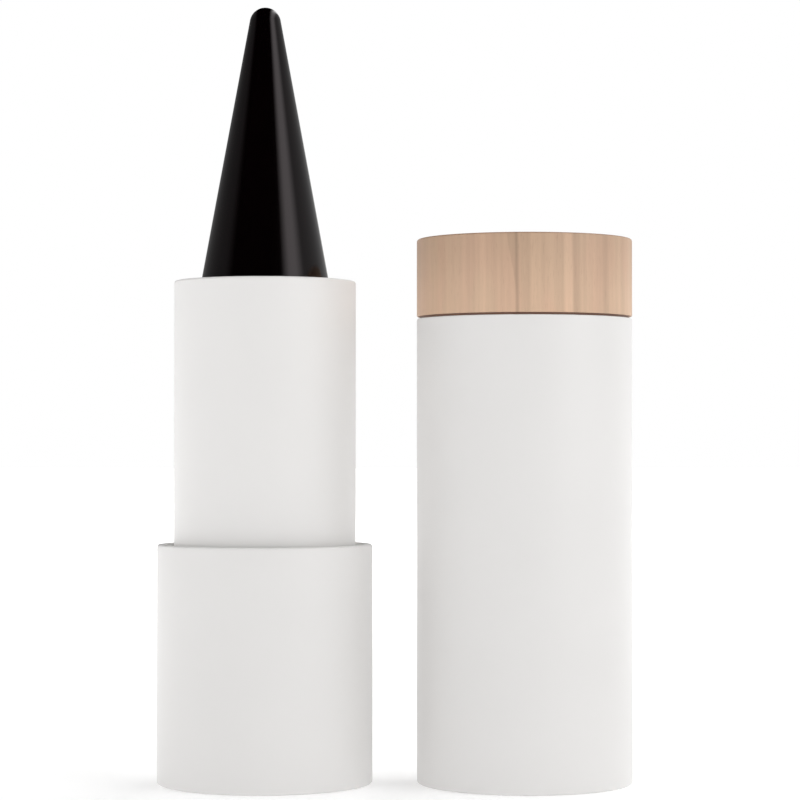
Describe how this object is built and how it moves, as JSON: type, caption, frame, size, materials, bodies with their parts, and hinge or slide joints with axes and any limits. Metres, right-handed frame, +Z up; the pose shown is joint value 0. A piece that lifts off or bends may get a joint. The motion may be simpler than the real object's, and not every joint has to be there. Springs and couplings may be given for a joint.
{
  "type": "kohl container",
  "caption": "Round twist-up kohl container, open: white base and turning sleeve with a raised kohl cone, and a white cap with a wooden top standing beside it.",
  "frame": {"origin": "centre of the base's foot, on the surface that the base and the cap stand on", "axes": "+Z up along the base's and the kohl's axis, +X from the base's axis to the axis of the cap that stands beside it"},
  "size_m": [0.0439, 0.0198, 0.0717],
  "materials": {
    "white_shell": "satin white moulded plastic",
    "liner": "plain off-white polypropylene",
    "mechanism": "natural off-white acetal",
    "drag_rubber": "black silicone",
    "kohl": "moulded black wax, satin",
    "wood": "fine straight grain, bare or oiled"
  },
  "bodies": {
    "base": {"base_shell": "white_shell", "base_liner": "liner", "slotted_tube": "mechanism", "drag_ring": "drag_rubber"},
    "sleeve": {"sleeve": "white_shell", "spiral_tube": "mechanism"},
    "carrier": {"stick_cup": "mechanism", "kohl_stick": "kohl"},
    "cap": {"cap_shell": "white_shell", "cap_liner": "liner", "wood_top": "wood"}
  },
  "joints": [
    {"name": "sleeve_twist", "type": "hinge", "parent": "base", "child": "sleeve", "pos_m": [0, 0, 0.03], "axis": [0, 0, 1], "range_deg": [0, 540]},
    {"name": "cup_slide", "type": "slide", "parent": "base", "child": "carrier", "axis": [0, 0, 1], "range_m": [-0.0258, 0]},
    {"name": "cap_lift", "type": "slide", "parent": "base", "child": "cap", "axis": [0, 0, 1], "range_m": [0, 0.08]}
  ],
  "couplings": [
    {"joint": "cup_slide", "follows": "sleeve_twist", "m_per_rad": -0.0027375}
  ]
}
